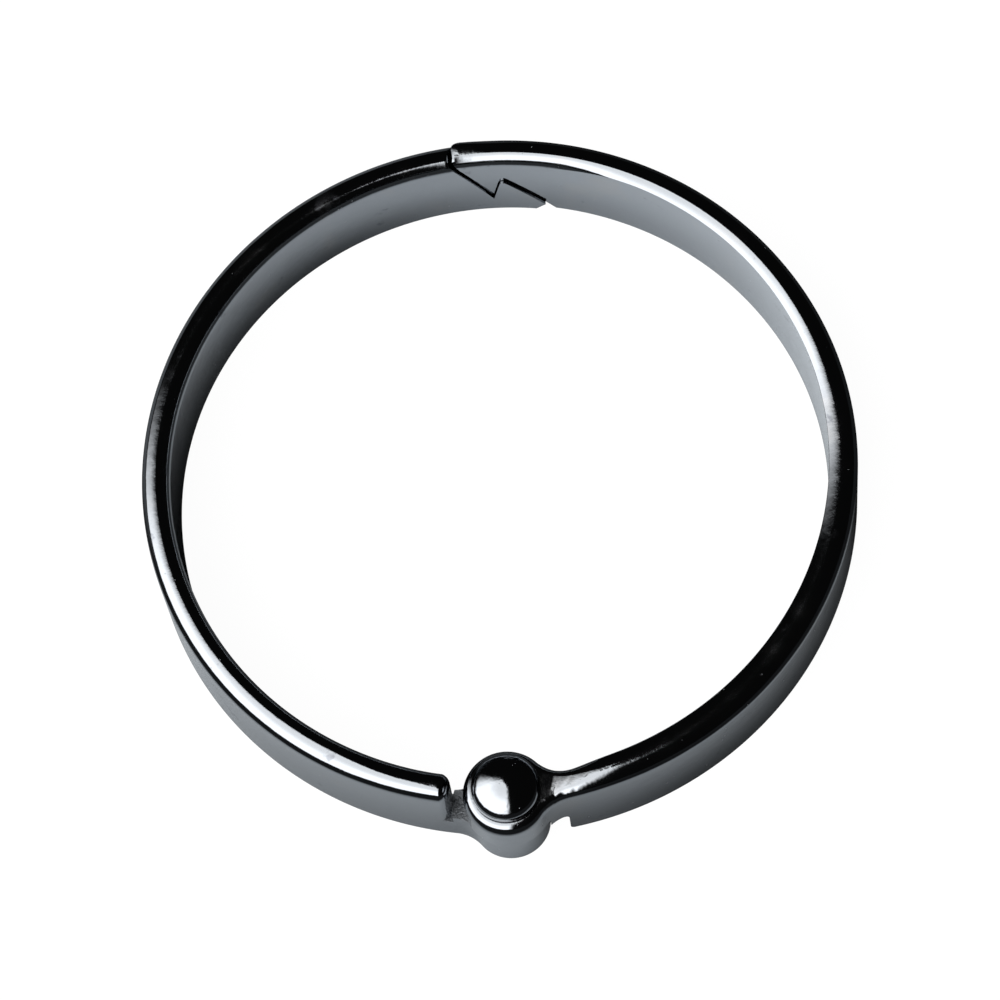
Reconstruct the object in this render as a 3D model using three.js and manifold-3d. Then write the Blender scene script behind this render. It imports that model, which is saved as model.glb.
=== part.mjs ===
// Hinged snap ring for keys: two half bands of flat stock, a riveted lap hinge and a barbed clasp.
//
// Millimetres, +Z up. The origin is on the hinge pivot's axis, in the plane that the ring's
// underside rests on. The ring lies flat and the clasp is opposite the hinge, at +Y. The left half
// is on the -X side and carries the lower hinge leaf. The right half carries the upper leaf.
import * as THREE from 'three';
import { mergeVertices } from 'three/addons/utils/BufferGeometryUtils.js';
import Module from 'manifold-3d';

const wasm = await Module();
wasm.setup();

// ---- Driving dimensions ----
const OUTER_DIAMETER = 40; // of the right half, which stands outside the left one at the clasp
const BAND_THICKNESS = 1.6;
const BAND_HEIGHT = 5.9;
const EDGE_ROUND = 0.6; // rounding of a band's two top edges
const CLASP_STEP = 0.16; // how far the right half's free end stands outside the left half's

// Hinge
const UPPER_EYE_RADIUS = 2.4;
const LOWER_EYE_RADIUS = 2.15;
const NECK_FILLET = 2.2; // concave radius between an eye and its band
const LAP_HEIGHT = 2.1; // mid height of the lap between the two necks
const LAP_GAP = 0.2;
const PAD_TOP = 2.7; // top of the lower eye, which the upper eye turns on
const PAD_GAP = 0.25;
const LEFT_SHOULDER = 3.1; // from the pivot to where the left band's full height starts
const RIGHT_SHOULDER = 3.25;
const NOTCH_ROUND = 0.35;
const RECESS_MARGIN = 0.1; // how much wider than the upper eye its underside's recess is
const EYE_TOP = 5.45; // the upper eye is pressed down to this height, as a seat for the rivet
const SEAT_RADIUS = 2.6; // from here out, the neck's top slopes up to the band's
const SLOPE_END_RADIUS = 3.9;

// Rivet
const SHANK_RADIUS = 1.0;
const HEAD_RADIUS = 1.87;
const HEAD_HEIGHT = 1.65;
const HEAD_RIM = 0.72; // height of the straight rim under the dome
const HEAD_GAP = 0.08;
const TAIL_RADIUS = 1.45;
const TAIL_DEPTH = 0.75;
const UPPER_HOLE_GAP = 0.09;
const LOWER_HOLE_GAP = 0.22; // lets the rivet lean a little when the clasp is sprung

// Clasp. The split between the two free ends, seen from inside the ring: x runs along the band
// towards the right half, and z upwards. Each half stops half a gap short of this line.
const CLASP_GAP = 0.12;
const SPLIT_TOP = new THREE.Vector2(-2.25, BAND_HEIGHT);
const VALLEY = new THREE.Vector2(0, 1.4);
const BARB = new THREE.Vector2(0.5, 3.6);
const KNEE = new THREE.Vector2(1.65, 2.25);
const TONGUE_TIP = new THREE.Vector2(2.95, 0.7);
const TONGUE_HEEL = new THREE.Vector2(2.35, 0);
const BARB_ROUND = 0.25;
const HOOK_CORNER_ROUND = 0.65; // in plan, on the outside of the right half's free end

// ---- Derived dimensions ----
const HALF_THICKNESS = BAND_THICKNESS / 2;
// The halves share a tangent at the hinge, so at the clasp their mid lines are twice as far apart
// as their radii.
const RIGHT_MID_RADIUS = OUTER_DIAMETER / 2 - HALF_THICKNESS;
const LEFT_MID_RADIUS = RIGHT_MID_RADIUS - CLASP_STEP / 2;
const LEFT_LAP_Z = LAP_HEIGHT - LAP_GAP / 2;
const RIGHT_LAP_Z = LAP_HEIGHT + LAP_GAP / 2;
const UPPER_EYE_Z = PAD_TOP + PAD_GAP;
const LEFT_PAST_CLASP = TONGUE_TIP.x + EDGE_ROUND;
const RIGHT_PAST_CLASP = -SPLIT_TOP.x;

// ---- Fineness ----
const BAND_STEPS = 44;
const FILLET_STEPS = 6;
const EYE_STEPS = 22;
const CORNER_STEPS = 5;
const EDGE_STEPS = 3;
const DOME_STEPS = 6;
const TURN_STEPS = 40;

// ---- Cutting tools ----
const FAR = 60; // well past the part
const OVERRUN = 1; // how far a tool starts outside the surface that it cuts
const HINGE_ZONE = 6; // how far from the pivot, along X and Y, the hinge's tools may cut

/** Turns a closed three.js geometry into a solid that can be joined and cut. */
function solidOf(geometry) {
  const bare = geometry.clone();
  bare.deleteAttribute('normal');
  bare.deleteAttribute('uv');
  const merged = mergeVertices(bare, 1e-5);
  const vertProperties = new Float32Array(merged.attributes.position.array);
  const triVerts = new Uint32Array(merged.index.array);
  return new wasm.Manifold(new wasm.Mesh({ numProp: 3, vertProperties, triVerts }));
}

/** Turns a solid back into a geometry. */
function geometryOf(solid) {
  const { vertProperties, triVerts, numProp } = solid.getMesh();
  const positions = [];
  for (let i = 0; i < vertProperties.length; i += numProp) {
    positions.push(vertProperties[i], vertProperties[i + 1], vertProperties[i + 2]);
  }
  const geometry = new THREE.BufferGeometry();
  geometry.setAttribute('position', new THREE.Float32BufferAttribute(positions, 3));
  geometry.setIndex(Array.from(triVerts));
  geometry.computeVertexNormals();
  return geometry;
}

/** A prism whose outline lies in the XY plane, from z0 to z1. */
function uprightPrism(points, z0, z1) {
  const settings = { depth: z1 - z0, bevelEnabled: false };
  const geometry = new THREE.ExtrudeGeometry(new THREE.Shape(points), settings);
  return solidOf(geometry.translate(0, 0, z0));
}

/** A prism whose outline is drawn in x and z, from y0 to y1. */
function crosswisePrism(points, y0, y1) {
  const settings = { depth: y1 - y0, bevelEnabled: false };
  const geometry = new THREE.ExtrudeGeometry(new THREE.Shape(points), settings);
  return solidOf(geometry.rotateX(Math.PI / 2).translate(0, y1, 0));
}

/** A solid turned about the pivot's axis. The profile's points are (radius, z). */
function turned(profile) {
  const points = profile.map(([radius, z]) => new THREE.Vector2(radius, z));
  return solidOf(new THREE.LatheGeometry(points, TURN_STEPS).rotateX(Math.PI / 2));
}

/** An upright cylinder on the pivot's axis. */
function pivotCylinder(radius, z0, z1) {
  return turned([[0, z0], [radius, z0], [radius, z1], [0, z1]]);
}

// ---- Outlines ----

const angleOf = (from, to) => Math.atan2(to.y - from.y, to.x - from.x);

/** Points on an arc, both ends included. Angles are in radians. */
function arc(centre, radius, from, to, steps) {
  return Array.from({ length: steps + 1 }, (_, i) => {
    const angle = from + ((to - from) * i) / steps;
    return new THREE.Vector2(Math.cos(angle), Math.sin(angle)).multiplyScalar(radius).add(centre);
  });
}

/** The arc that rounds a corner, from the side of the point before it to the point after it. */
function roundedCorner(before, corner, after, radius) {
  const back = before.clone().sub(corner).normalize();
  const onward = after.clone().sub(corner).normalize();
  const halfAngle = Math.acos(back.dot(onward)) / 2;
  const reach = radius / Math.tan(halfAngle);
  const inwards = back.clone().add(onward).normalize();
  const centre = corner.clone().addScaledVector(inwards, radius / Math.sin(halfAngle));
  const from = angleOf(centre, corner.clone().addScaledVector(back, reach));
  const turn = (Math.PI - 2 * halfAngle) * Math.sign(onward.cross(back));
  return arc(centre, radius, from, from + turn, CORNER_STEPS);
}

/** A path moved sideways by a distance, to the left of its direction of travel. */
function movedSideways(path, distance) {
  const leftOf = (from, to) => {
    const onward = to.clone().sub(from).normalize();
    return new THREE.Vector2(-onward.y, onward.x);
  };
  return path.map((point, i) => {
    const before = i > 0 ? leftOf(path[i - 1], point) : leftOf(point, path[i + 1]);
    const after = i < path.length - 1 ? leftOf(point, path[i + 1]) : before;
    const mitre = before.clone().add(after).normalize();
    return point.clone().addScaledVector(mitre, distance / mitre.dot(before));
  });
}

/**
 * The centre of the concave arc that joins the hinge eye, which is centred on the pivot, to one
 * face of the band. side is 1 for the band's outer face and -1 for its inner face.
 */
function neckCentre(eyeRadius, midRadius, side) {
  const fromRingCentre = midRadius + side * (HALF_THICKNESS + NECK_FILLET);
  const fromPivot = eyeRadius + NECK_FILLET;
  const y = (fromPivot ** 2 - fromRingCentre ** 2 + midRadius ** 2) / (2 * midRadius);
  return new THREE.Vector2(Math.sqrt(fromPivot ** 2 - y ** 2), y);
}

/**
 * The plan of a half that starts with its eye round the pivot and curves up on the +X side to the
 * clasp. pastClasp is how far its free end runs past the clasp's middle.
 */
function halfPlan(eyeRadius, midRadius, pastClasp, cornerRound) {
  const pivot = new THREE.Vector2(0, 0);
  const ringCentre = new THREE.Vector2(0, midRadius);
  const outerNeck = neckCentre(eyeRadius, midRadius, 1);
  const innerNeck = neckCentre(eyeRadius, midRadius, -1);
  const freeEnd = Math.PI / 2 + pastClasp / midRadius;
  const neckArc = (centre, from, to) => arc(centre, NECK_FILLET, from, to, FILLET_STEPS);

  const outerAngles = [angleOf(ringCentre, outerNeck), freeEnd];
  const innerAngles = [freeEnd, angleOf(ringCentre, innerNeck)];
  const outerFace = arc(ringCentre, midRadius + HALF_THICKNESS, ...outerAngles, BAND_STEPS);
  const innerFace = arc(ringCentre, midRadius - HALF_THICKNESS, ...innerAngles, BAND_STEPS);
  const corner = outerFace.pop();
  const freeCorner = cornerRound
    ? roundedCorner(outerFace.at(-1), corner, innerFace[0], cornerRound)
    : [corner];
  const eyeAngles = [angleOf(pivot, innerNeck), angleOf(pivot, outerNeck) + 2 * Math.PI];
  return [
    ...arc(pivot, eyeRadius, ...eyeAngles, EYE_STEPS),
    ...neckArc(outerNeck, angleOf(outerNeck, pivot), angleOf(outerNeck, ringCentre)).slice(1, -1),
    ...outerFace,
    ...freeCorner,
    ...innerFace,
    ...neckArc(innerNeck, angleOf(ringCentre, innerNeck), angleOf(innerNeck, pivot)).slice(1, -1),
  ];
}

/** The line that splits the free ends, from above the band's top to below its underside. */
function splitLine() {
  const above = VALLEY.clone().lerp(SPLIT_TOP, (BAND_HEIGHT + OVERRUN) / BAND_HEIGHT);
  const below = KNEE.clone().lerp(TONGUE_TIP, 2);
  return [above, VALLEY, ...roundedCorner(VALLEY, BARB, KNEE, BARB_ROUND), KNEE, below];
}

// ---- Pieces ----

/** A half's blank: its plan at full height, with the top edge rounded. */
function blank(plan) {
  const geometry = new THREE.ExtrudeGeometry(new THREE.Shape(plan), {
    depth: BAND_HEIGHT,
    bevelThickness: EDGE_ROUND,
    bevelSize: EDGE_ROUND,
    bevelOffset: -EDGE_ROUND,
    bevelSegments: EDGE_STEPS,
  });
  // The rounding adds to the depth at both ends, so the body is let down and the lower one cut off.
  const body = solidOf(geometry.translate(0, 0, -EDGE_ROUND));
  const square = arc(new THREE.Vector2(), 2 * FAR, 0, 1.5 * Math.PI, 3);
  return body.subtract(uprightPrism(square, -FAR, 0));
}

function leftHalf() {
  const plan = halfPlan(LOWER_EYE_RADIUS, LEFT_MID_RADIUS, LEFT_PAST_CLASP, 0);
  const mirrored = plan.map(({ x, y }) => new THREE.Vector2(-x, y)).reverse();

  const aboveTongue = [
    ...movedSideways(splitLine(), -CLASP_GAP / 2).slice(0, -1),
    TONGUE_TIP,
    TONGUE_HEEL,
    TONGUE_HEEL.clone().lerp(TONGUE_TIP, -1),
    new THREE.Vector2(FAR, -OVERRUN),
    new THREE.Vector2(FAR, BAND_HEIGHT + OVERRUN),
  ];
  const claspTool = crosswisePrism(aboveTongue, LEFT_MID_RADIUS, FAR);

  const overLeaf = [
    new THREE.Vector2(-LEFT_SHOULDER, LEFT_LAP_Z),
    new THREE.Vector2(HINGE_ZONE, LEFT_LAP_Z),
    new THREE.Vector2(HINGE_ZONE, BAND_HEIGHT + OVERRUN),
    new THREE.Vector2(-LEFT_SHOULDER, BAND_HEIGHT + OVERRUN),
  ];
  const pad = pivotCylinder(LOWER_EYE_RADIUS + OVERRUN, 0, PAD_TOP);
  const leafTool = crosswisePrism(overLeaf, -HINGE_ZONE, HINGE_ZONE).subtract(pad);

  const holeRadius = SHANK_RADIUS + LOWER_HOLE_GAP;
  const sinkRadius = TAIL_RADIUS + LOWER_HOLE_GAP;
  const hole = turned([
    [0, -OVERRUN],
    [sinkRadius, -OVERRUN],
    [sinkRadius, 0],
    [holeRadius, TAIL_DEPTH + LOWER_HOLE_GAP],
    [holeRadius, PAD_TOP + OVERRUN],
    [0, PAD_TOP + OVERRUN],
  ]);
  return [claspTool, leafTool, hole].reduce((half, tool) => half.subtract(tool), blank(mirrored));
}

function rightHalf() {
  const plan = halfPlan(UPPER_EYE_RADIUS, RIGHT_MID_RADIUS, RIGHT_PAST_CLASP, HOOK_CORNER_ROUND);

  const underHook = [
    ...movedSideways(splitLine(), CLASP_GAP / 2),
    new THREE.Vector2(-FAR, -OVERRUN),
    new THREE.Vector2(-FAR, BAND_HEIGHT + OVERRUN),
  ];
  const claspTool = crosswisePrism(underHook, RIGHT_MID_RADIUS, FAR);

  const foot = new THREE.Vector2(RIGHT_SHOULDER + NOTCH_ROUND, NOTCH_ROUND);
  const crook = new THREE.Vector2(RIGHT_SHOULDER - NOTCH_ROUND, RIGHT_LAP_Z - NOTCH_ROUND);
  const underLeaf = [
    new THREE.Vector2(-HINGE_ZONE, -OVERRUN),
    new THREE.Vector2(foot.x, -OVERRUN),
    ...arc(foot, NOTCH_ROUND, -Math.PI / 2, -Math.PI, CORNER_STEPS),
    ...arc(crook, NOTCH_ROUND, 0, Math.PI / 2, CORNER_STEPS),
    new THREE.Vector2(-HINGE_ZONE, RIGHT_LAP_Z),
  ];
  const leafTool = crosswisePrism(underLeaf, -HINGE_ZONE, HINGE_ZONE);
  const recess = pivotCylinder(UPPER_EYE_RADIUS + RECESS_MARGIN, -OVERRUN, UPPER_EYE_Z);
  const seat = turned([
    [0, EYE_TOP],
    [SEAT_RADIUS, EYE_TOP],
    [SLOPE_END_RADIUS, BAND_HEIGHT],
    [SLOPE_END_RADIUS, BAND_HEIGHT + OVERRUN],
    [0, BAND_HEIGHT + OVERRUN],
  ]);
  const hole = pivotCylinder(SHANK_RADIUS + UPPER_HOLE_GAP, 0, BAND_HEIGHT + OVERRUN);
  const tools = [claspTool, leafTool, recess, seat, hole];
  return tools.reduce((half, tool) => half.subtract(tool), blank(plan));
}

/** The rivet: a tail peened into the lower eye's sink, a shank, and a domed head. */
function rivet() {
  const seat = EYE_TOP + HEAD_GAP;
  const rise = HEAD_HEIGHT - HEAD_RIM;
  const domeRadius = (HEAD_RADIUS ** 2 + rise ** 2) / (2 * rise);
  const domeCentre = new THREE.Vector2(0, seat + HEAD_HEIGHT - domeRadius);
  const rimAngle = Math.acos(HEAD_RADIUS / domeRadius);
  const dome = arc(domeCentre, domeRadius, rimAngle, Math.PI / 2, DOME_STEPS).slice(0, -1);
  return turned([
    [0, 0],
    [TAIL_RADIUS, 0],
    [SHANK_RADIUS, TAIL_DEPTH],
    [SHANK_RADIUS, seat],
    [HEAD_RADIUS, seat],
    ...dome.map(({ x, y }) => [x, y]),
    [0, seat + HEAD_HEIGHT],
  ]);
}

// ---- The assembly ----

const blackNickel = { color: 0x34373b, roughness: 0.12, metalness: 1 };

function piece(name, solid) {
  const mesh = new THREE.Mesh(geometryOf(solid), new THREE.MeshStandardMaterial(blackNickel));
  mesh.name = name;
  return mesh;
}

const ring = new THREE.Group();
ring.add(piece('left_half_ring', leftHalf()));
ring.add(piece('right_half_ring', rightHalf()));
ring.add(piece('pivot_rivet', rivet()));

export default ring;
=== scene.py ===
import math

import bmesh
import bpy
from mathutils import Matrix, Vector


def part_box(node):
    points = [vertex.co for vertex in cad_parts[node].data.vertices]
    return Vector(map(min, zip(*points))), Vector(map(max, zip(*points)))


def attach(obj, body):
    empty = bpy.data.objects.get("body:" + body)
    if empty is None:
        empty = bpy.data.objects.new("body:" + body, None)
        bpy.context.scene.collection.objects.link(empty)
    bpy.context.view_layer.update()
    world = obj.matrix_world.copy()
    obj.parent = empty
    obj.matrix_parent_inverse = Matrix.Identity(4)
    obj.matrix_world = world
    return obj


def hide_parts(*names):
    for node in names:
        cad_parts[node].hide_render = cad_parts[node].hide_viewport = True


# Looks for the hinged snap ring: two half bands, and the rivet that joins them. Lengths in the
# shape code are millimetres in the CAD's frame, and MM turns them into metres.
MM = 0.001

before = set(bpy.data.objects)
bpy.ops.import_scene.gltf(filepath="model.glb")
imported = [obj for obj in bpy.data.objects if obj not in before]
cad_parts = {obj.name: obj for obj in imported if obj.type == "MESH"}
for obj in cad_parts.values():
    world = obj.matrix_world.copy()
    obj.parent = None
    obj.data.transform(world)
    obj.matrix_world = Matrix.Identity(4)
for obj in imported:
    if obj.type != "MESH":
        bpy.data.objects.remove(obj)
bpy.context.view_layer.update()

# ---- Sizes taken from the CAD's boxes ----
left_low, left_high = (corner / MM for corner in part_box("left_half_ring"))
right_low, right_high = (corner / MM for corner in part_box("right_half_ring"))
rivet_low, rivet_high = (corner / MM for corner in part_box("pivot_rivet"))

HEIGHT = right_high.z
HALF_THICKNESS = 0.8
LEFT_OUTER = -left_low.x
RIGHT_OUTER = right_high.x
LEFT_MID = LEFT_OUTER - HALF_THICKNESS
RIGHT_MID = RIGHT_OUTER - HALF_THICKNESS
LOWER_EYE = -left_low.y
UPPER_EYE = -right_low.y
HEAD_RADIUS = rivet_high.x
HEAD_TOP = rivet_high.z
RING_CENTRE_Y = (LEFT_MID + RIGHT_MID) / 2

# ---- Band: its top is a full crown, drawn in less round the eye and at the ends ----
CROWN_DOWN = 0.8  # from the crest down to the upright wall
CREST_FLAT = 0.02
EYE_ROUND = 0.5  # how far the top edge is drawn in round the eye,
SHOULDER_CROWN = 0.6  # at the left half's shoulder,
END_ROUND = 0.15  # at a free end,
END_CORNER_CROWN = 0.55  # and just past the free end's corner
END_FACE = 0.01  # points this near to the free end belong to its end face
END_CORNER = 0.6  # how far the free end's corner reaches along the band
END_BLEND = 2.5  # and from the end to where the crown has its full width
SHOULDER_FLAT = 1.2  # how far from the left shoulder's end its crown stays the same
EYE_MARGIN = 0.1  # from the eye to where its round edge starts to turn into the crown
EYE_BLEND = 3.4  # and to where that ends
BEHIND_PIVOT = 0.5  # radians round the ring from the pivot that still belong to the eye
# How far the crown's ridge runs outside the mid line, from the hinge round to the clasp
LEFT_CRESTS = (0.12, -0.05, -0.3)
RIGHT_CRESTS = (-0.08, -0.27)
# How far over the right half's crown is tilted on its inner side, at its ridge and at the wall
RIDGE_TILT = math.radians(12)
SHARP_CROWN_TILT = math.radians(46)
# The azimuths in degrees, from +X round the ring's centre, between which those values change
LEFT_CREST_BY_HINGE = (-75, -58)
LEFT_CREST_BY_CLASP = (25, 70)
RIGHT_CREST_CHANGE = (0, 28)
RIDGE_TILT_CHANGE = (10, 30)
WALL_TILT_CHANGE = (62, 84)
FOOT_BEVEL = 0.05
WALL_MARGIN = 0.05  # narrow bands at a wall's edges, so that its shading stays flat
NECK_FILLET = 2.2  # concave radius between an eye and its band

# ---- Hinge ----
LEFT_LAP_Z = 2.0  # top of the lower leaf
RIGHT_LAP_Z = 2.2  # underside of the upper leaf
PAD_TOP = 2.7  # top of the lower eye, close under the upper one
UPPER_EYE_Z = 2.95  # underside of the upper eye
LEFT_SHOULDER = 3.1  # from the pivot to where the left band's full height starts
SHOULDER_ROUND = 0.64
PLUG_MARGIN = 0.02  # how much larger than the shoulder the form that saves it from the cut is
PLUG_CROWN = 0.6
RIGHT_SHOULDER = 3.25
NOTCH_ROUND = 0.35
RECESS_MARGIN = 0.1  # how much wider than the upper eye its underside's recess is
EYE_TOP = 5.45  # the upper eye is pressed down to this height, as a seat for the rivet
SEAT_RADIUS = 2.6  # from here out, the neck's top slopes up to the band's
SLOPE_END = 6.2
SLOPE_EASE = 1.9
SEAT_WAVES = 2  # shallow waves in the slope, as pressing leaves them
SEAT_WAVE = 0.65
SEAT_WAVE_HEIGHT = 0.006
PRESSED_FROM = 1.0  # the eye and the slope are split across X from here
PRESSED_MARGIN = 0.3  # to this far past the slope's end
PRESSED_STEP = 0.08
SAME_POINT = 1e-8  # metres
UPPER_HOLE = 1.09
LOWER_HOLE = 1.22
SINK = 1.67  # radius of the countersink for the rivet's tail
SINK_DEPTH = 0.97
HEAD_GAP = 0.08
HEAD_RIM = 0.72  # height of the straight rim under the dome
HEAD_FILLET = 0.7  # radius between the rim and the dome
HEAD_CHAMFER = 0.05
SHANK = 1.0
TAIL = 1.45
TAIL_CHAMFER = (0.04, 0.03)
TAIL_DEPTH = 0.75
DOME_PATCH = 0.01  # radians from the dome's pole to its last ring

# ---- Clasp: the split between the free ends, x along the band and z up ----
CLASP_GAP = 0.07
END_GAP = 0.13  # how much wider the gap is at the top of the split
SPLIT_TOP = Vector((-2.25, HEIGHT))
VALLEY = Vector((0.0, 1.4))
BARB = Vector((0.5, 3.6))
KNEE = Vector((1.65, 2.25))
TONGUE_TIP = Vector((2.95, 0.7))
TONGUE_HEEL = Vector((2.35, 0.0))
BARB_ROUND = 0.25
HOOK_CORNER_ROUND = 0.65  # in plan, on the outside of the right half's free end
HOOK_CORNER_GAP = 0.02  # between a rounded corner and the band's next point
SHOULDER_CORNER_GAP = 0.03
LEFT_PAST_CLASP = 4.0  # how far past the clasp's middle the left half's uncut band reaches

# ---- Steps of the round stretches ----
BAND_STEPS = 220
EYE_STEPS = 120
NECK_STEPS = 20
CORNER_STEPS = 8
CROWN_STEPS = 12
HOLE_STEPS = 96
HEAD_STEPS = 160
HEAD_FILLET_STEPS = 6
DOME_STEPS = 30

# ---- Tools ----
FAR = 60.0  # well past the part
OVERRUN = 1.0  # how far a tool starts outside the surface that it cuts
HINGE_ZONE = 6.0  # how far from the pivot the hinge's tools may cut
QUARTER = math.pi / 2
NEARLY_STRAIGHT = 0.9  # cosine of a turn; at slighter turns the two sides' distances are averaged


# ---- Outlines ----
def polar(centre, radius, angle):
    return Vector((centre[0] + radius * math.cos(angle), centre[1] + radius * math.sin(angle)))


def angle_of(start, end):
    return math.atan2(end[1] - start[1], end[0] - start[0])


def arc(centre, radius, start, end, steps):
    return [polar(centre, radius, start + (end - start) * i / steps) for i in range(steps + 1)]


def rounded_corner(before, corner, after, radius):
    """The arc that rounds a corner, from the side of the point before it to the one after."""
    back = (before - corner).normalized()
    onward = (after - corner).normalized()
    half_angle = math.acos(back.dot(onward)) / 2
    centre = corner + (back + onward).normalized() * (radius / math.sin(half_angle))
    start = angle_of(centre, corner + back * (radius / math.tan(half_angle)))
    cross = onward.x * back.y - onward.y * back.x
    turn = math.copysign(math.pi - 2 * half_angle, cross)
    return arc(centre, radius, start, start + turn, CORNER_STEPS)


def left_of(start, end):
    onward = (end - start).normalized()
    return Vector((-onward.y, onward.x))


def moved_sideways(path, distance, closed=False):
    """A path moved to the left of its direction of travel, by one distance or by one per side."""
    count = len(path)
    distances = distance if isinstance(distance, list) else [distance] * count
    moved = []
    for i, point in enumerate(path):
        before = left_of(path[i - 1], point) if i or closed else None
        after = left_of(point, path[(i + 1) % count]) if closed or i < count - 1 else before
        before = before or after
        near, far = distances[i - 1], distances[i]
        turn = before.dot(after)
        if turn > NEARLY_STRAIGHT:
            mitre = (before + after).normalized()
            moved.append(point + mitre * ((near + far) / 2 / mitre.dot(before)))
        else:
            shift = before * (near - far * turn) + after * (far - near * turn)
            moved.append(point + shift / (1 - turn * turn))
    return moved


def neck_centre(eye_radius, mid_radius, side):
    """The centre of the concave arc between the eye and one face of the band."""
    from_ring_centre = mid_radius + side * (HALF_THICKNESS + NECK_FILLET)
    from_pivot = eye_radius + NECK_FILLET
    y = (from_pivot**2 - from_ring_centre**2 + mid_radius**2) / (2 * mid_radius)
    return Vector((math.sqrt(from_pivot**2 - y**2), y))


def half_plan(eye_radius, mid_radius, past_clasp, corner_round):
    """The plan of a half, from its eye round the pivot up the +X side to its free end."""
    pivot = Vector((0, 0))
    ring_centre = Vector((0, mid_radius))
    outer_neck = neck_centre(eye_radius, mid_radius, 1)
    inner_neck = neck_centre(eye_radius, mid_radius, -1)
    free_end = QUARTER + past_clasp / mid_radius
    outer_start = angle_of(ring_centre, outer_neck)
    inner_start = angle_of(ring_centre, inner_neck)
    outer = arc(ring_centre, mid_radius + HALF_THICKNESS, outer_start, free_end, BAND_STEPS)
    inner = arc(ring_centre, mid_radius - HALF_THICKNESS, free_end, inner_start, BAND_STEPS)
    corner = outer.pop()
    free_corner = [corner]
    if corner_round:
        free_corner = rounded_corner(outer[-1], corner, inner[0], corner_round)
        while (outer[-1] - corner).length < (free_corner[0] - corner).length + HOOK_CORNER_GAP:
            outer.pop()
    eye_start = angle_of(pivot, inner_neck)
    eye_end = angle_of(pivot, outer_neck) + 2 * math.pi
    eye = arc(pivot, eye_radius, eye_start, eye_end, EYE_STEPS)
    outer_end = angle_of(outer_neck, ring_centre)
    outer_fillet = arc(
        outer_neck, NECK_FILLET, angle_of(outer_neck, pivot), outer_end, NECK_STEPS
    )
    inner_end = angle_of(inner_neck, pivot)
    inner_fillet = arc(inner_neck, NECK_FILLET, inner_start, inner_end, NECK_STEPS)
    return eye + outer_fillet[1:-1] + outer + free_corner + inner + inner_fillet[1:-1]


def band_plan(mid_radius, start, past_clasp, corner_round):
    """The plan of a band alone, from a rounded end at the angle start to its free end."""
    ring_centre = Vector((0, mid_radius))
    free_end = QUARTER + past_clasp / mid_radius
    outer = arc(ring_centre, mid_radius + HALF_THICKNESS, start, free_end, BAND_STEPS)
    inner = arc(ring_centre, mid_radius - HALF_THICKNESS, free_end, start, BAND_STEPS)
    first = outer.pop(0)
    last = inner.pop()
    near_outer = rounded_corner(last, first, outer[0], corner_round)
    near_inner = rounded_corner(inner[-1], last, first, corner_round)
    clear = corner_round + SHOULDER_CORNER_GAP
    outer = [p for p in outer if (p - first).length > clear]
    inner = [p for p in inner if (p - last).length > clear]
    return near_outer + outer + inner + near_inner


def mirror(point):
    return Vector((-point.x, point.y))


def mirrored(path):
    return [mirror(p) for p in reversed(path)]


def split_line():
    """The split's middle line, from above the band to below it."""
    above = VALLEY.lerp(SPLIT_TOP, (HEIGHT + OVERRUN) / HEIGHT)
    below = KNEE.lerp(TONGUE_TIP, 2)
    return [above, VALLEY, *rounded_corner(VALLEY, BARB, KNEE, BARB_ROUND), KNEE, below]


# ---- Solids ----
def new_object(name, bm):
    mesh = bpy.data.meshes.new(name)
    bmesh.ops.recalc_face_normals(bm, faces=bm.faces)
    bm.to_mesh(mesh)
    bm.free()
    obj = bpy.data.objects.new(name, mesh)
    bpy.context.scene.collection.objects.link(obj)
    return obj


def stacked(name, rings):
    """A closed solid through rings of points with equal counts, capped at both ends."""
    bm = bmesh.new()
    loops = [[bm.verts.new(Vector(p) * MM) for p in ring] for ring in rings]
    count = len(loops[0])
    for low, high in zip(loops, loops[1:]):
        for i in range(count):
            j = (i + 1) % count
            bm.faces.new((low[i], low[j], high[j], high[i]))
    bm.faces.new(list(reversed(loops[0])))
    bm.faces.new(loops[-1])
    return new_object(name, bm)


def crosswise_prism(name, outline, y0, y1):
    """A prism whose outline is drawn in x and z."""
    return stacked(name, [[(p.x, y, p.y) for p in outline] for y in (y0, y1)])


def turned(name, profile, steps=HOLE_STEPS):
    """A solid turned about the pivot's axis. The profile's points are (radius, z)."""
    rings = []
    for radius, z in profile:
        rings.append([(*polar((0, 0), radius, 2 * math.pi * i / steps), z) for i in range(steps)])
    return stacked(name, rings)


def blank(name, plan, crown, top=HEIGHT):
    """A plan at full height with a small bevel at its foot and a crowned top.

    For a point of the plan, crown gives how far the top edge is drawn in there, and how far over
    the crown is tilted at its ridge and where it meets the wall.
    """
    sides = [crown((p + q) / 2) for p, q in zip(plan, plan[1:] + plan[:1])]
    levels = [(0.0, FOOT_BEVEL), (FOOT_BEVEL, 0.0), (FOOT_BEVEL + WALL_MARGIN, 0.0)]
    rings = [[(p.x, p.y, z) for p in moved_sideways(plan, d, closed=True)] for z, d in levels]
    # The first of these rings still lies on the wall, just below the crown.
    for i in range(-1, CROWN_STEPS + 1):
        share = 1 - max(i, 0) / CROWN_STEPS
        lowered = WALL_MARGIN if i < 0 else 0.0
        inwards = []
        heights = []
        for across, gentlest, steepest in sides:
            tilt = gentlest + (steepest - gentlest) * share
            reach = math.sin(steepest) - math.sin(gentlest)
            inwards.append(across * (math.sin(steepest) - math.sin(tilt)) / reach)
            heights.append(top - lowered - CROWN_DOWN * (math.cos(gentlest) - math.cos(tilt)))
        moved = moved_sideways(plan, inwards, closed=True)
        rings.append(
            [(p.x, p.y, (heights[j - 1] + heights[j]) / 2) for j, p in enumerate(moved)]
        )
    return stacked(name, rings)


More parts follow.
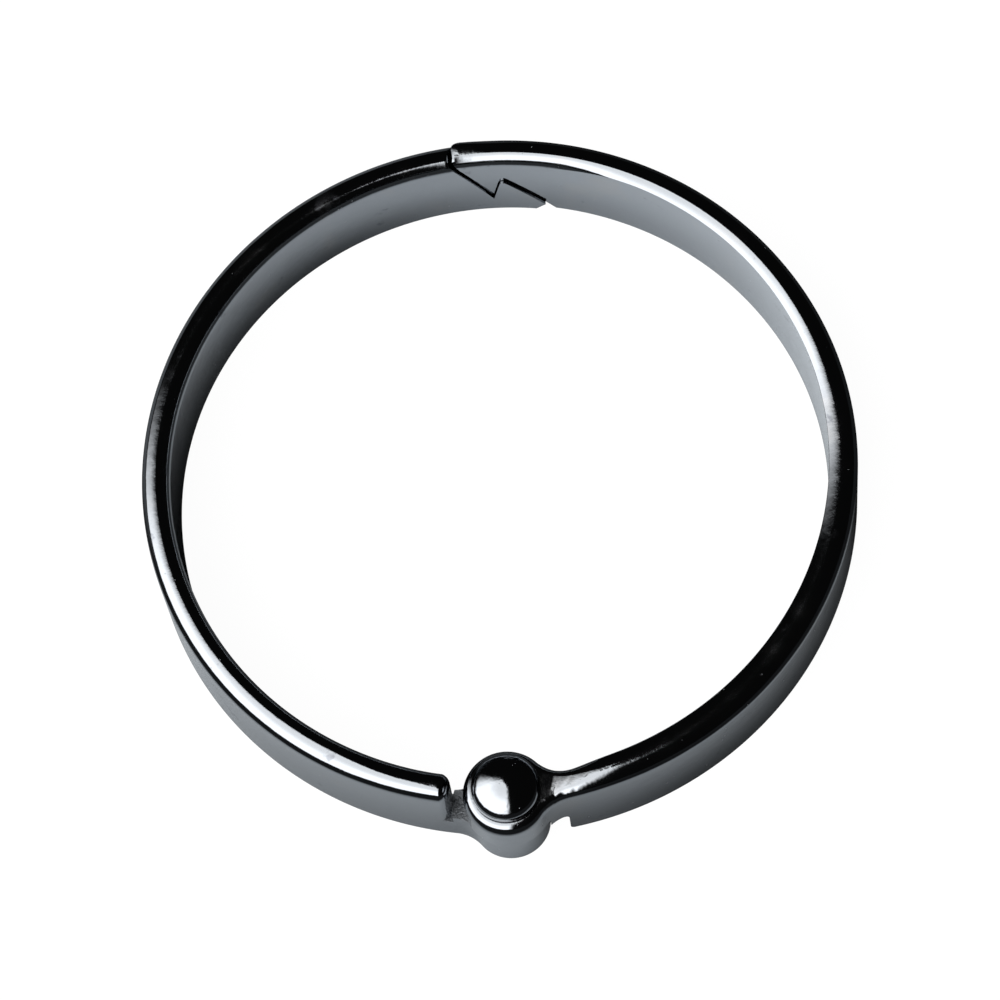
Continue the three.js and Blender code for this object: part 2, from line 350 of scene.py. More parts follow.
def smooth_step(value, low, high):
    t = min(1.0, max(0.0, (value - low) / (high - low)))
    return t * t * (3 - 2 * t)


def blend(value, low, high, at_low, at_high):
    return at_low + (at_high - at_low) * smooth_step(value, low, high)


def crown_of_half(mid_radius, eye_radius, crest, inner_tilts, past_clasp):
    """The crown of a half, from the pivot to its free end.

    crest gives how far the crown's ridge runs outside the mid line, and inner_tilts how far over
    its inner side is tilted at the ridge and at the wall, for an azimuth round the ring's centre.
    """
    ring_centre = Vector((0, mid_radius))
    free_end = QUARTER + past_clasp / mid_radius

    def crown(point):
        arm = point - ring_centre
        azimuth = angle_of(ring_centre, point)
        if azimuth < -QUARTER - BEHIND_PIVOT:
            azimuth += 2 * math.pi
        to_end = (free_end - azimuth) * mid_radius
        if to_end < END_FACE:
            return END_ROUND, 0.0, QUARTER
        half_width = HALF_THICKNESS - CREST_FLAT / 2
        if arm.length > mid_radius:
            near_end = blend(to_end, 0.0, END_CORNER, END_ROUND, END_CORNER_CROWN)
            band = blend(to_end, END_CORNER, END_BLEND, near_end, half_width - crest(azimuth))
            gentlest, steepest = 0.0, QUARTER
        else:
            band = half_width + crest(azimuth)
            gentlest, steepest = inner_tilts(azimuth)
        from_eye = smooth_step(point.length, eye_radius + EYE_MARGIN, eye_radius + EYE_BLEND)
        across = EYE_ROUND + (band - EYE_ROUND) * from_eye
        return across, gentlest * from_eye, QUARTER + (steepest - QUARTER) * from_eye

    return crown


def cut(target, tool):
    """Cuts the tool from the target, then removes the tool."""
    modifier = target.modifiers.new("cut", "BOOLEAN")
    modifier.operation = "DIFFERENCE"
    modifier.solver = "MANIFOLD"
    modifier.object = tool
    graph = bpy.context.evaluated_depsgraph_get()
    mesh = bpy.data.meshes.new_from_object(target.evaluated_get(graph))
    target.modifiers.clear()
    target.data = mesh
    bpy.data.objects.remove(tool)
    return target


# ---- Pieces ----
def over_leaf_tool():
    """What is cut away over the left half's leaf: all but the pad and the shoulder's round end."""
    outline = [
        Vector((-LEFT_SHOULDER - 2 * SHOULDER_ROUND, LEFT_LAP_Z)),
        Vector((HINGE_ZONE, LEFT_LAP_Z)),
        Vector((HINGE_ZONE, HEIGHT + OVERRUN)),
        Vector((-LEFT_SHOULDER - 2 * SHOULDER_ROUND, HEIGHT + OVERRUN)),
    ]
    tool = crosswise_prism("over_leaf", outline, -HINGE_ZONE, HINGE_ZONE)
    wide = LOWER_EYE + OVERRUN
    tool = cut(tool, turned("over_pad", [(wide, 0.0), (wide, PAD_TOP)]))
    start = math.asin(LEFT_SHOULDER / LEFT_MID) - QUARTER
    plan = band_plan(LEFT_MID, start, LEFT_PAST_CLASP, SHOULDER_ROUND)
    shoulder = plan[0]

    def crown(point):
        past_flat = (mirror(point) - shoulder).length - SHOULDER_FLAT
        return blend(past_flat, 0.0, END_BLEND, SHOULDER_CROWN, PLUG_CROWN), 0.0, QUARTER

    outline = mirrored(moved_sideways(plan, -PLUG_MARGIN, closed=True))
    return cut(tool, blank("shoulder", outline, crown, HEIGHT + PLUG_MARGIN))


def blend_round(azimuth, change, before, after):
    start, end = change
    return blend(azimuth, math.radians(start), math.radians(end), before, after)


def left_crest(azimuth):
    by_hinge, midway, by_clasp = LEFT_CRESTS
    from_hinge = blend_round(azimuth, LEFT_CREST_BY_HINGE, by_hinge, midway)
    return blend_round(azimuth, LEFT_CREST_BY_CLASP, from_hinge, by_clasp)


def left_tilts(azimuth):
    return 0.0, QUARTER


def right_crest(azimuth):
    return blend_round(azimuth, RIGHT_CREST_CHANGE, *RIGHT_CRESTS)


def right_tilts(azimuth):
    gentlest = blend_round(azimuth, RIDGE_TILT_CHANGE, 0.0, RIDGE_TILT)
    return gentlest, blend_round(azimuth, WALL_TILT_CHANGE, SHARP_CROWN_TILT, QUARTER)


def left_half():
    plan = half_plan(LOWER_EYE, LEFT_MID, LEFT_PAST_CLASP, 0)
    crown = crown_of_half(LEFT_MID, LOWER_EYE, left_crest, left_tilts, LEFT_PAST_CLASP)
    half = blank("left_half_band", mirrored(plan), lambda p: crown(mirror(p)))
    half = cut(half, over_leaf_tool())
    line = moved_sideways(split_line(), -CLASP_GAP / 2)
    line[0].x -= END_GAP
    above_tongue = [
        *line[:-1],
        TONGUE_TIP,
        TONGUE_HEEL,
        TONGUE_HEEL.lerp(TONGUE_TIP, -1),
        Vector((FAR, -OVERRUN)),
        Vector((FAR, HEIGHT + OVERRUN)),
    ]
    half = cut(half, crosswise_prism("clasp_tool", above_tongue, LEFT_MID, FAR))
    hole = [
        (SINK, -OVERRUN),
        (SINK, 0.0),
        (LOWER_HOLE, SINK_DEPTH),
        (LOWER_HOLE, PAD_TOP + OVERRUN),
    ]
    return cut(half, turned("hole", hole))


def pressed_down(obj):
    """Lowers the top of the right half's eye to the rivet's seat, with a slope up to the band."""
    bm = bmesh.new()
    bm.from_mesh(obj.data)
    x = PRESSED_FROM
    while x < SLOPE_END + PRESSED_MARGIN:
        faces = [f for f in bm.faces if f.calc_center_median().y < HINGE_ZONE * MM]
        near = {e for f in faces for e in f.edges} | {v for f in faces for v in f.verts}
        plane = {"plane_co": (x * MM, 0, 0), "plane_no": (1, 0, 0)}
        bmesh.ops.bisect_plane(bm, geom=faces + list(near), dist=SAME_POINT, **plane)
        x += PRESSED_STEP
    for vert in bm.verts:
        point = vert.co / MM
        if point.y > HINGE_ZONE:
            continue
        share = min(1.0, max(0.0, (SLOPE_END - point.x) / (SLOPE_END - SEAT_RADIUS)))
        share **= SLOPE_EASE
        raised = min(1.0, max(0.0, (point.z - UPPER_EYE_Z) / (HEIGHT - CROWN_DOWN - UPPER_EYE_Z)))
        waves = (point.x - SEAT_RADIUS) / SEAT_WAVE
        wave = SEAT_WAVE_HEIGHT * math.sin(2 * math.pi * waves) if 0 < waves < SEAT_WAVES else 0.0
        vert.co.z += (wave - (HEIGHT - EYE_TOP) * share) * raised * MM
    bmesh.ops.triangulate(bm, faces=[f for f in bm.faces if len(f.verts) > 4])
    bm.to_mesh(obj.data)
    bm.free()
    return obj


def right_half():
    past_clasp = -SPLIT_TOP.x
    plan = half_plan(UPPER_EYE, RIGHT_MID, past_clasp, HOOK_CORNER_ROUND)
    crown = crown_of_half(RIGHT_MID, UPPER_EYE, right_crest, right_tilts, past_clasp)
    half = pressed_down(blank("right_half_band", plan, crown))
    under_hook = [
        *moved_sideways(split_line(), CLASP_GAP / 2),
        Vector((-FAR, -OVERRUN)),
        Vector((-FAR, HEIGHT + OVERRUN)),
    ]
    half = cut(half, crosswise_prism("clasp_tool", under_hook, RIGHT_MID, FAR))
    foot = Vector((RIGHT_SHOULDER + NOTCH_ROUND, NOTCH_ROUND))
    crook = Vector((RIGHT_SHOULDER - NOTCH_ROUND, RIGHT_LAP_Z - NOTCH_ROUND))
    under_leaf = [
        Vector((-HINGE_ZONE, -OVERRUN)),
        Vector((foot.x, -OVERRUN)),
        *arc(foot, NOTCH_ROUND, -QUARTER, -math.pi, CORNER_STEPS),
        *arc(crook, NOTCH_ROUND, 0, QUARTER, CORNER_STEPS),
        Vector((-HINGE_ZONE, RIGHT_LAP_Z)),
    ]
    half = cut(half, crosswise_prism("leaf_tool", under_leaf, -HINGE_ZONE, HINGE_ZONE))
    recess_radius = UPPER_EYE + RECESS_MARGIN
    recess = turned("recess", [(recess_radius, -OVERRUN), (recess_radius, UPPER_EYE_Z)])
    half = cut(half, recess)
    hole = turned("hole", [(UPPER_HOLE, 0.0), (UPPER_HOLE, HEIGHT + OVERRUN)])
    return cut(half, hole)


def rivet():
    """The rivet: a peened tail, a shank, and a head with a short rim under its dome."""
    seat = EYE_TOP + HEAD_GAP
    rise = HEAD_TOP - seat - HEAD_RIM
    dome_radius = (HEAD_RADIUS**2 + rise**2) / (2 * rise)
    centre = Vector((0.0, HEAD_TOP - dome_radius))
    # The fillet touches the rim from inside and the dome from within.
    fillet_x = HEAD_RADIUS - HEAD_FILLET
    inner = dome_radius - HEAD_FILLET
    fillet = Vector((fillet_x, centre.y + math.sqrt(inner**2 - fillet_x**2)))
    meeting = angle_of(centre, fillet)
    profile = [
        (TAIL - TAIL_CHAMFER[0], 0.0),
        (TAIL, TAIL_CHAMFER[1]),
        (SHANK, TAIL_DEPTH),
        (SHANK, seat),
        (HEAD_RADIUS - HEAD_CHAMFER, seat),
        (HEAD_RADIUS, seat + HEAD_CHAMFER),
    ]
    round_edge = arc(fillet, HEAD_FILLET, 0.0, meeting, HEAD_FILLET_STEPS)
    dome = arc(centre, dome_radius, meeting, QUARTER - DOME_PATCH, DOME_STEPS)
    profile += [tuple(p) for p in round_edge + dome[1:]]
    return turned("rivet_head_and_shank", profile, HEAD_STEPS)


# ---- Shading of the solids ----
BEVELLED_ANGLE = math.radians(32)  # edges sharper than this get a bevel
SHADED_ANGLE = math.radians(20)  # and sharper than this aren't shaded over
UPRIGHT = 0.01  # a face is upright when its normal's z is smaller
BAND_BEVEL = 0.03
RIVET_BEVEL = 0.02


def finish_edges(obj, width, walls_end_sharply):
    """Softens the cut edges with a small bevel, and shades smoothly except at what stays sharp.

    Walls that end sharply are shaded quite straight, whatever adjoins them.
    """
    bevel = obj.modifiers.new("cut_edges", "BEVEL")
    bevel.limit_method = "ANGLE"
    bevel.angle_limit = BEVELLED_ANGLE
    bevel.width = width * MM
    bevel.segments = 2
    graph = bpy.context.evaluated_depsgraph_get()
    mesh = bpy.data.meshes.new_from_object(obj.evaluated_get(graph))
    obj.modifiers.clear()
    obj.data = mesh
    bm = bmesh.new()
    bm.from_mesh(mesh)
    bm.normal_update()
    for face in bm.faces:
        face.smooth = True
    for edge in bm.edges:
        edge.smooth = len(edge.link_faces) == 2 and edge.calc_face_angle(0) < SHADED_ANGLE
        upright = [abs(face.normal.z) < UPRIGHT for face in edge.link_faces]
        if walls_end_sharply and any(upright) and not all(upright):
            edge.smooth = False
    bm.to_mesh(mesh)
    bm.free()


# ---- Material ----
# The plate's patterns: noise scales per millimetre, and heights in millimetres
RIPPLE_SCALE = 0.55
RIPPLE_HEIGHT = 0.02
WAVE_SCALE = 1.9
WAVE_HEIGHT = 0.0045
GRAIN_SCALE = 7.0
GRAIN_HEIGHT = 0.0011
LINE_SCALE = 5.0
LINE_HEIGHT = 0.0016
LINE_LAY = 1.2  # pattern length per radian round the ring: the lines are about 16 times longer
PIT_SCALE = 2.2
PIT_SIZE_SCALE = 0.8
PIT_AREAS = (0.5, 0.75)  # levels of the size pattern over which the pits grow from nothing
PIT_REACH = 0.13  # of the largest pits, in cells of their pattern
PIT_HEIGHT = -0.006
SMUDGE_SCALE = 0.28
SMUDGE_LEVELS = (0.52, 0.72)
SPOT_SCALE = 0.42
SPOT_LEVELS = (0.62, 0.70)
GROUND_UP = (0.93, 0.99)  # z of the normal over which the crown's coarser grinding sets in
GROUND_HEIGHT = 0.003
AS_CUT_UP = 0.7  # an as-cut face looks up more than this
AS_CUT_HEIGHT = 0.03
LOW_MARGIN = 1e-5  # metres above the pad that still count as low
STAIN_SHARE = 0.6
AS_CUT_SHADE_SHARE = 0.6
# Roughness: the plate's own, and what each pattern adds to it
PLATE_ROUGH = 0.05
SMUDGE_ROUGH = 0.06
GRAIN_ROUGH = 0.05
SPOT_ROUGH = 0.12
PIT_ROUGH = 0.2
AS_CUT_ROUGH = 0.3

PLATE = (0.210, 0.221, 0.234, 1)
SMUDGED_PLATE = (0.228, 0.231, 0.235, 1)
STAIN = (0.10, 0.105, 0.12, 1)
# Painted shade for the low faces that look up, in the recess under the upper leaf
AS_CUT_SHADE = (0.07, 0.075, 0.08, 1)


class Nodes:
    """Adds nodes to a tree and joins them."""

    def __init__(self, tree):
        self.tree = tree

    def add(self, kind, settings=None, **inputs):
        node = self.tree.nodes.new(kind)
        for key, value in (settings or {}).items():
            setattr(node, key, value)
        for key, value in inputs.items():
            self.put(node.inputs[key.replace("_", " ")], value)
        return node

    def put(self, socket, value):
        if isinstance(value, bpy.types.NodeSocket):
            self.tree.links.new(value, socket)
        else:
            socket.default_value = value

    def math(self, operation, a, b=0.0, c=0.0):
        node = self.tree.nodes.new("ShaderNodeMath")
        node.operation = operation
        for socket, value in zip(node.inputs, (a, b, c)):
            self.put(socket, value)
        return node.outputs[0]

    def ramp(self, value, low, high, to_low=0.0, to_high=1.0):
        node = self.add("ShaderNodeMapRange", {"interpolation_type": "SMOOTHSTEP"})
        for key, number in (
            ("Value", value), ("From Min", low), ("From Max", high),
            ("To Min", to_low), ("To Max", to_high),
        ):
            self.put(node.inputs[key], number)
        return node.outputs["Result"]

    def mix(self, factor, a, b):
        node = self.add("ShaderNodeMix", {"data_type": "RGBA"})
        self.put(node.inputs["Factor"], factor)
        self.put(node.inputs["A"], a)
        self.put(node.inputs["B"], b)
        return node.outputs["Result"]


def polishing_lines(n, coords):
    """Fine lines that run along the band, round the ring's centre."""
    centred = n.add("ShaderNodeVectorMath", {"operation": "SUBTRACT"})
    n.put(centred.inputs[0], coords)
    n.put(centred.inputs[1], (0.0, RING_CENTRE_Y * MM, 0.0))
    flat = n.add("ShaderNodeVectorMath", {"operation": "MULTIPLY"})
    n.put(flat.inputs[0], centred.outputs[0])
    n.put(flat.inputs[1], (1.0, 1.0, 0.0))
    length = n.add("ShaderNodeVectorMath", {"operation": "LENGTH"})
    n.put(length.inputs[0], flat.outputs[0])
    split = n.add("ShaderNodeSeparateXYZ")
    n.put(split.inputs[0], centred.outputs[0])
    azimuth = n.math("ARCTAN2", split.outputs[1], split.outputs[0])
    along = n.add("ShaderNodeCombineXYZ")
    n.put(along.inputs[0], n.math("DIVIDE", length.outputs["Value"], MM))
    n.put(along.inputs[1], n.math("MULTIPLY", azimuth, LINE_LAY))
    n.put(along.inputs[2], n.math("DIVIDE", split.outputs[2], MM))
    lines = n.add("ShaderNodeTexNoise", Vector=along.outputs[0], Scale=LINE_SCALE, Detail=2.0)
    return lines.outputs["Fac"]


def black_nickel(name, seed, waviness, as_cut_and_shade):
    """Polished black nickel plate with ripples, fine pits and smudges.

    The as-cut option adds a coarse matt finish on the low faces that look up, where no polishing
    wheel reaches, and a darker colour there, which is painted shade of the recess under the upper
    leaf.
    """
    material = bpy.data.materials.new(name)
    material.use_nodes = True
    tree = material.node_tree
    tree.nodes.clear()
    n = Nodes(tree)
    coords = n.add("ShaderNodeTexCoord").outputs["Object"]
    place = n.add("ShaderNodeMapping")
    n.put(place.inputs["Vector"], coords)
    place.inputs["Scale"].default_value = (1 / MM,) * 3
    place.inputs["Location"].default_value = (seed, seed / 2, seed / 3)
    mm = place.outputs["Vector"]

    ripple = n.add("ShaderNodeTexNoise", Vector=mm, Scale=RIPPLE_SCALE, Detail=2.0)
    waves = n.add("ShaderNodeTexNoise", Vector=mm, Scale=WAVE_SCALE, Detail=2.0, Roughness=0.55)
    grain = n.add("ShaderNodeTexNoise", Vector=mm, Scale=GRAIN_SCALE, Detail=3.0, Roughness=0.6)
    pits = n.add("ShaderNodeTexVoronoi", Vector=mm, Scale=PIT_SCALE, Randomness=1.0)
    pit_size = n.add("ShaderNodeTexNoise", Vector=mm, Scale=PIT_SIZE_SCALE, Detail=1.0)
    pit_reach = n.ramp(pit_size.outputs["Fac"], *PIT_AREAS, 0.0, PIT_REACH)
    pit_mask = n.math("LESS_THAN", pits.outputs["Distance"], pit_reach)
    lines = polishing_lines(n, coords)
    smudge = n.add("ShaderNodeTexNoise", Vector=mm, Scale=SMUDGE_SCALE, Detail=5.0, Roughness=0.62)
    smudge_mask = n.ramp(smudge.outputs["Fac"], *SMUDGE_LEVELS)
    spot = n.add("ShaderNodeTexNoise", Vector=mm, Scale=SPOT_SCALE, Detail=4.0, Roughness=0.7)
    spot_mask = n.ramp(spot.outputs["Fac"], *SPOT_LEVELS)
    geometry = n.add("ShaderNodeNewGeometry")

    colour = n.mix(smudge_mask, PLATE, SMUDGED_PLATE)
    colour = n.mix(n.math("MULTIPLY", spot_mask, STAIN_SHARE), colour, STAIN)
    rough = n.math("MULTIPLY_ADD", smudge_mask, SMUDGE_ROUGH, PLATE_ROUGH)
    rough = n.math("MULTIPLY_ADD", grain.outputs["Fac"], GRAIN_ROUGH, rough)
    rough = n.math("MULTIPLY_ADD", spot_mask, SPOT_ROUGH, rough)
    rough = n.math("MULTIPLY_ADD", pit_mask, PIT_ROUGH, rough)

    height = n.math("MULTIPLY", ripple.outputs["Fac"], RIPPLE_HEIGHT * waviness)
    height = n.math("MULTIPLY_ADD", waves.outputs["Fac"], WAVE_HEIGHT * waviness, height)
    height = n.math("MULTIPLY_ADD", grain.outputs["Fac"], GRAIN_HEIGHT, height)
    height = n.math("MULTIPLY_ADD", lines, LINE_HEIGHT, height)
    height = n.math("MULTIPLY_ADD", pit_mask, PIT_HEIGHT, height)
    # The flat of the crown is less finely ground than its rounded sides.
    up = n.add("ShaderNodeSeparateXYZ")
    n.put(up.inputs[0], geometry.outputs["Normal"])
    ground = n.math("MULTIPLY", n.ramp(up.outputs[2], *GROUND_UP), grain.outputs["Fac"])
    height = n.math("MULTIPLY_ADD", ground, GROUND_HEIGHT, height)

    if as_cut_and_shade:
        face = n.add("ShaderNodeSeparateXYZ")
        n.put(face.inputs[0], geometry.outputs["True Normal"])
        position = n.add("ShaderNodeSeparateXYZ")
        n.put(position.inputs[0], coords)
        low = n.math("LESS_THAN", position.outputs[2], PAD_TOP * MM + LOW_MARGIN)
        cut_and_shade_mask = n.math("MULTIPLY", low, n.math("GREATER_THAN", face.outputs[2], AS_CUT_UP))
        # Their colour is darkened as painted shade of the recess under the upper leaf; the roughness
        # and coarse bumps are their as-cut finish.
        colour = n.mix(n.math("MULTIPLY", cut_and_shade_mask, AS_CUT_SHADE_SHARE), colour, AS_CUT_SHADE)
        rough = n.math("MULTIPLY_ADD", cut_and_shade_mask, AS_CUT_ROUGH, rough)
        coarse = n.math("MULTIPLY", grain.outputs["Fac"], cut_and_shade_mask)
        height = n.math("MULTIPLY_ADD", coarse, AS_CUT_HEIGHT, height)

    bump = n.add("ShaderNodeBump", Height=height, Strength=1.0, Distance=MM)
    shader = n.add("ShaderNodeBsdfPrincipled", Metallic=1.0, Roughness=rough)
    n.put(shader.inputs["Base Color"], colour)
    n.put(shader.inputs["Normal"], bump.outputs["Normal"])
    out = n.add("ShaderNodeOutputMaterial")
    n.put(out.inputs["Surface"], shader.outputs[0])
    return material


# ---- Studio ----
# Directions are unit vectors in the part's frame: x to the right, y to the back and z up.
LIGHT_LOW = 4.9  # radiance of the softbox near the horizon
LIGHT_HIGH = 3.2  # and overhead
OVERHEAD = (0.68, 1.0)  # z between which the one turns into the other
RIGHT_EDGE = (-0.03, 0.15)  # x over which the softbox ends
LOWER_EDGE = (0.06, 0.18)  # z over which it ends
BACK_EDGE = 0.29  # y where it ends in the middle, but for its cut corner
BACK_EDGE_LEAN = -0.1
CORNER_START = 0.15  # how far to the left of the middle the corner's cut starts
CORNER_LEAN = -1.1
EDGE_SOFTNESS = 0.04
EDGE_SOFTER_LEFT = -0.3
LEAST_SOFTNESS = 0.02
DOME_STRENGTH = 0.008
BACKDROP = 1.03


def studio_world():
    """A dark room with one big softbox, from the left and the front up to overhead.

    The metal mirrors it, and the camera sees a pale backdrop instead.
    """
    world = bpy.data.worlds.new("studio")
    bpy.context.scene.world = world
    world.use_nodes = True
    tree = world.node_tree
    tree.nodes.clear()
    n = Nodes(tree)
    direction = n.add("ShaderNodeNewGeometry").outputs["Incoming"]
    away = n.add("ShaderNodeVectorMath", {"operation": "SCALE"})
    n.put(away.inputs[0], direction)
    n.put(away.inputs["Scale"], -1.0)
    split = n.add("ShaderNodeSeparateXYZ")
    n.put(split.inputs[0], away.outputs[0])
    x, y, z = split.outputs
    inside = n.ramp(x, *RIGHT_EDGE, 1.0, 0.0)
    # The back edge of the softbox leans back and gets softer towards the left. On the right, its
    # corner is cut off.
    corner = n.math("MAXIMUM", n.math("ADD", x, CORNER_START), 0.0)
    back_edge = n.math("MULTIPLY_ADD", x, BACK_EDGE_LEAN, BACK_EDGE)
    back_edge = n.math("MULTIPLY_ADD", corner, CORNER_LEAN, back_edge)
    softness = n.math("MULTIPLY_ADD", x, EDGE_SOFTER_LEFT, EDGE_SOFTNESS)
    softness = n.math("MAXIMUM", softness, LEAST_SOFTNESS)
    beyond = n.math("DIVIDE", n.math("SUBTRACT", y, back_edge), softness)
    inside = n.math("MULTIPLY", inside, n.ramp(beyond, -1.0, 1.0, 1.0, 0.0))
    inside = n.math("MULTIPLY", inside, n.ramp(z, *LOWER_EDGE))
    radiance = n.ramp(z, *OVERHEAD, LIGHT_LOW, LIGHT_HIGH)
    light = n.math("MULTIPLY_ADD", inside, radiance, DOME_STRENGTH)
    seen = n.add("ShaderNodeLightPath").outputs["Is Camera Ray"]
    strength = n.mix(seen, light, (BACKDROP,) * 3 + (1,))
    background = n.add("ShaderNodeBackground", Color=strength, Strength=1.0)
    out = n.add("ShaderNodeOutputWorld")
    n.put(out.inputs["Surface"], background.outputs[0])


# ---- Floor ----
FLOOR_SIZE = 0.6  # its radius in metres, like its drop below the ring
FLOOR_DROP = 0.00002
FLOOR_STEPS = 96
FLOOR_ALBEDO = 0.8
FLOOR_GLOW = 0.94  # how much of what the camera sees of the floor is an even white
# The rest is about the paper as the metal mirrors it, painted with light and shade, in millimetres
# and in shares of white.
MIRRORED_LIT_LEVEL = 0.68
MIRRORED_NEAR = 60.0  # it fades to nothing from here
MIRRORED_FAR = 400.0  # to here
SHADE_REACH = 2.2  # how far the shade at the foot of a wall reaches
LIT_SIDE_SHADE = 0.35  # how deep that shade is on the side that faces the light
FAR_SIDE_SHADE = 0.8  # and on the other
UNLIT = 0.03  # outside behind the ring, and inside at its front
FRONT_LIT = 0.95
FRONT_SHARE = 0.6  # how pale the front is beside the back
LIT_REACH = 7.0  # how far from the ring the brightly lit floor ends
# How dark the floor is painted farther off than that: inside the ring, and outside, behind it to the
# left and elsewhere
FAR_INSIDE = 0.06
FAR_BACK_LEFT = 0.16
FAR_ELSEWHERE = 0.02
SMALLEST_LENGTH = 0.1  # keeps the middle of the floor from a division by nothing
# The shares of a direction round the ring, -1 to 1, over which the light changes
TURNS_AWAY = (-0.1, 0.6)  # to the side away from the light, and from the front to the back
LIT_FRONT = (0.0, -0.25)  # outside, from the back to the lit front
LIT_BACK = (-0.5, -0.1)  # inside, from the front to the lit back
BACK_LEFT = (0.9, 1.3)  # outside and far off, to the back left
MIRRORED_TINT = (0.94, 1.0, 1.05)


def painted_light_of_mirrored_floor(n):
    """How pale the metal mirrors the floor, painted with light and shade: painted light from the
    left and the front, painted shade at the walls' feet, and painted darkness far off.
    """
    coords = n.add("ShaderNodeTexCoord").outputs["Object"]
    in_mm = n.add("ShaderNodeVectorMath", {"operation": "SCALE"})
    n.put(in_mm.inputs[0], coords)
    n.put(in_mm.inputs["Scale"], 1 / MM)
    length = n.add("ShaderNodeVectorMath", {"operation": "LENGTH"})
    n.put(length.inputs[0], in_mm.outputs[0])
    away = length.outputs["Value"]
    split = n.add("ShaderNodeSeparateXYZ")
    n.put(split.inputs[0], in_mm.outputs[0])
    x, y, _ = split.outputs
    right = n.math("DIVIDE", x, n.math("MAXIMUM", away, SMALLEST_LENGTH))
    back = n.math("DIVIDE", y, n.math("MAXIMUM", away, SMALLEST_LENGTH))
    outside = n.math("GREATER_THAN", away, LEFT_MID)
    from_mid = n.math("ABSOLUTE", n.math("SUBTRACT", away, LEFT_MID))
    from_wall = n.math("SUBTRACT", from_mid, HALF_THICKNESS)
    side = n.math("MULTIPLY", right, n.math("MULTIPLY_ADD", outside, 2.0, -1.0))
    # Painted shade at the foot of each wall, deeper on the side that faces away from the light.
    foot = n.ramp(from_wall, 0.0, SHADE_REACH, 1.0, 0.0)
    depth = n.ramp(side, *TURNS_AWAY, LIT_SIDE_SHADE, FAR_SIDE_SHADE)
    shade = n.math("SUBTRACT", 1.0, n.math("MULTIPLY", foot, depth))
    # Painted light near the ring: outside it the front is lit, inside it the back is, and the rest
    # is painted dark.
    front_lit = n.ramp(back, *LIT_FRONT, UNLIT, FRONT_LIT)
    back_lit = n.ramp(back, *LIT_BACK, UNLIT, 1.0)
    lit = n.add("ShaderNodeMix", {"data_type": "FLOAT"})
    n.put(lit.inputs["Factor"], outside)
    n.put(lit.inputs["A"], back_lit)
    n.put(lit.inputs["B"], front_lit)
    # The painted light near the ring is dimmer at the front than at the back.
    near = n.math("MULTIPLY", n.ramp(back, *TURNS_AWAY, FRONT_SHARE, 1.0), MIRRORED_LIT_LEVEL)
    near = n.math("MULTIPLY", near, shade)
    near = n.math("MULTIPLY", near, lit.outputs["Result"])
    # Painted darkness farther off, paler behind to the left, fading to nothing with the distance.
    beside = n.add("ShaderNodeMix", {"data_type": "FLOAT"})
    n.put(beside.inputs["Factor"], outside)
    n.put(beside.inputs["A"], FAR_INSIDE)
    back_left = n.math("SUBTRACT", back, right)
    n.put(beside.inputs["B"], n.ramp(back_left, *BACK_LEFT, FAR_ELSEWHERE, FAR_BACK_LEFT))
    far = n.ramp(away, MIRRORED_NEAR, MIRRORED_FAR, 1.0, 0.0)
    far = n.math("MULTIPLY", far, beside.outputs["Result"])
    level = n.add("ShaderNodeMix", {"data_type": "FLOAT"})
    n.put(level.inputs["Factor"], n.ramp(from_wall, LIT_REACH / 2, LIT_REACH))
    n.put(level.inputs["A"], near)
    n.put(level.inputs["B"], far)
    tint = n.add("ShaderNodeVectorMath", {"operation": "SCALE"})
    n.put(tint.inputs[0], MIRRORED_TINT)
    n.put(tint.inputs["Scale"], level.outputs["Result"])
    return tint.outputs[0]


def floor():
    """Pale paper. What the metal mirrors of it has painted light and shade, and a painted darkening
    with the distance from the ring.
    """
    bm = bmesh.new()
    bmesh.ops.create_circle(bm, cap_ends=True, segments=FLOOR_STEPS, radius=FLOOR_SIZE)
    obj = new_object("floor", bm)
    obj.location = (0.0, RING_CENTRE_Y * MM, -FLOOR_DROP)
    material = bpy.data.materials.new("floor_paper")
    material.use_nodes = True
    tree = material.node_tree
    tree.nodes.clear()
    n = Nodes(tree)
    seen = n.add("ShaderNodeLightPath").outputs["Is Camera Ray"]
    mirrored_painted_light = painted_light_of_mirrored_floor(n)
    # The camera sees the even paper; the metal mirrors the paper's painted light and shade.
    albedo = n.mix(seen, mirrored_painted_light, (FLOOR_ALBEDO,) * 3 + (1,))
    paper = n.add("ShaderNodeBsdfDiffuse", Color=albedo)
    glow = n.add("ShaderNodeEmission", Color=(BACKDROP,) * 3 + (1,), Strength=1.0)
    both = n.add("ShaderNodeMixShader")
    n.put(both.inputs[0], n.math("MULTIPLY", seen, FLOOR_GLOW))
    n.put(both.inputs[1], paper.outputs[0])
    n.put(both.inputs[2], glow.outputs[0])
    out = n.add("ShaderNodeOutputMaterial")
    n.put(out.inputs["Surface"], both.outputs[0])
    obj.data.materials.append(material)


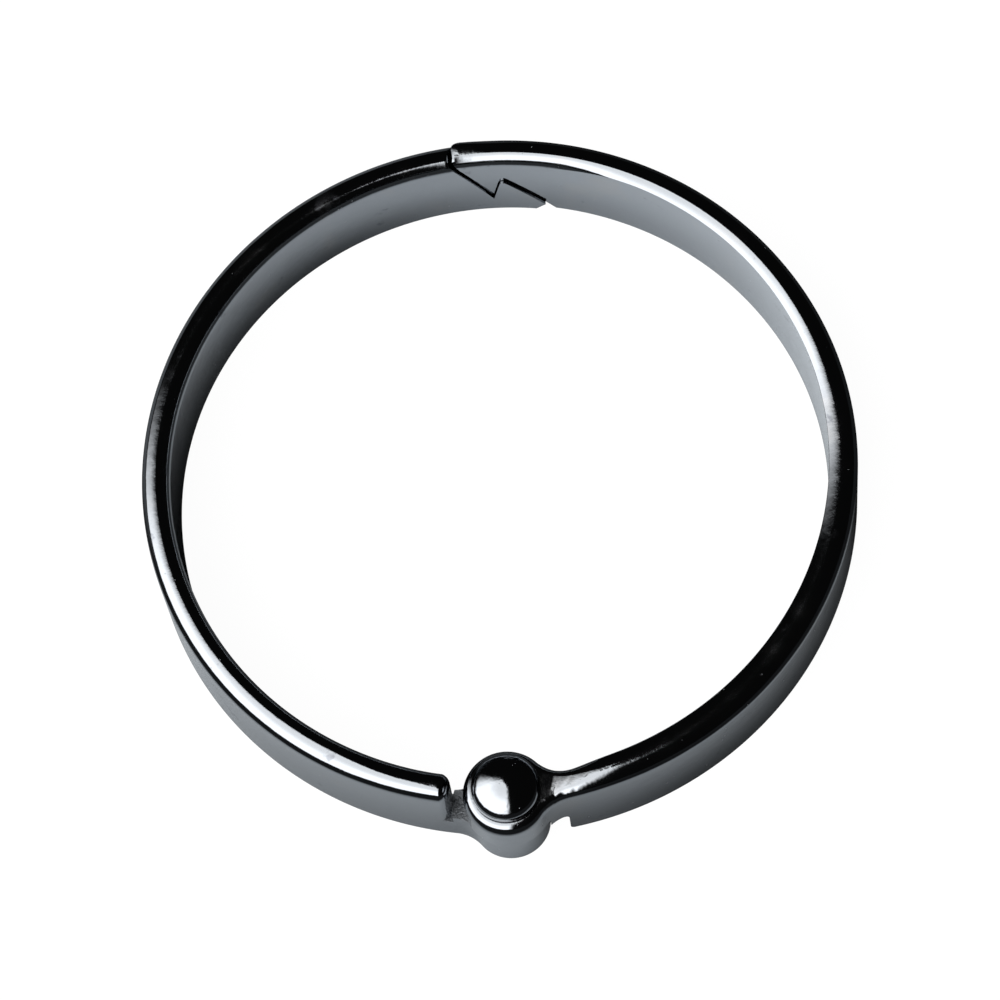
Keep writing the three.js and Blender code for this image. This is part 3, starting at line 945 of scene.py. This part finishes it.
# ---- Camera ----
CAMERA_AZIMUTH = 7.49
CAMERA_ELEVATION = 67.69
CAMERA_ROLL = 9.61
CAMERA_DISTANCE = 0.2646
CAMERA_LENS = 168.1
SENSOR_WIDTH = 36.0
NEAREST_SEEN = 0.01
FARTHEST_SEEN = 10.0
AIM_OFFSET = Vector((-0.194, -0.026, 0.0)) * MM


def camera():
    azimuth, elevation, roll = map(
        math.radians, (CAMERA_AZIMUTH, CAMERA_ELEVATION, CAMERA_ROLL)
    )
    turn = Matrix.Rotation(azimuth, 3, "Z")
    right = turn @ Vector((1, 0, 0))
    up = turn @ Vector((0, math.sin(elevation), math.cos(elevation)))
    back = turn @ Vector((0, -math.cos(elevation), math.sin(elevation)))
    rolled_right = right * math.cos(roll) - up * math.sin(roll)
    rolled_up = right * math.sin(roll) + up * math.cos(roll)
    ring_centre = Vector((0, RING_CENTRE_Y, 0)) * MM
    data = bpy.data.cameras.new("camera")
    data.lens = CAMERA_LENS
    data.sensor_width = SENSOR_WIDTH
    data.clip_start = NEAREST_SEEN
    data.clip_end = FARTHEST_SEEN
    obj = bpy.data.objects.new("camera", data)
    bpy.context.scene.collection.objects.link(obj)
    axes = Matrix((rolled_right, rolled_up, back)).transposed().to_4x4()
    axes.translation = ring_centre + AIM_OFFSET + back * CAMERA_DISTANCE
    obj.matrix_world = axes
    bpy.context.scene.camera = obj


# ---- Build ----
def piece(obj, node, body, bevel, material):
    finish_edges(obj, bevel, walls_end_sharply=node != "pivot_rivet")
    obj.data.materials.clear()
    obj.data.materials.append(material)
    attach(obj, body)
    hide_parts(node)


left_plate = black_nickel("left_plate", seed=3.1, waviness=1.0, as_cut_and_shade=True)
right_plate = black_nickel("right_plate", seed=17.7, waviness=1.0, as_cut_and_shade=False)
rivet_plate = black_nickel("rivet_plate", seed=41.3, waviness=2.2, as_cut_and_shade=False)
piece(left_half(), "left_half_ring", "left_half", BAND_BEVEL, left_plate)
piece(right_half(), "right_half_ring", "right_half", BAND_BEVEL, right_plate)
piece(rivet(), "pivot_rivet", "pivot", RIVET_BEVEL, rivet_plate)
studio_world()
floor()
camera()
bpy.context.scene.view_settings.view_transform = "Standard"
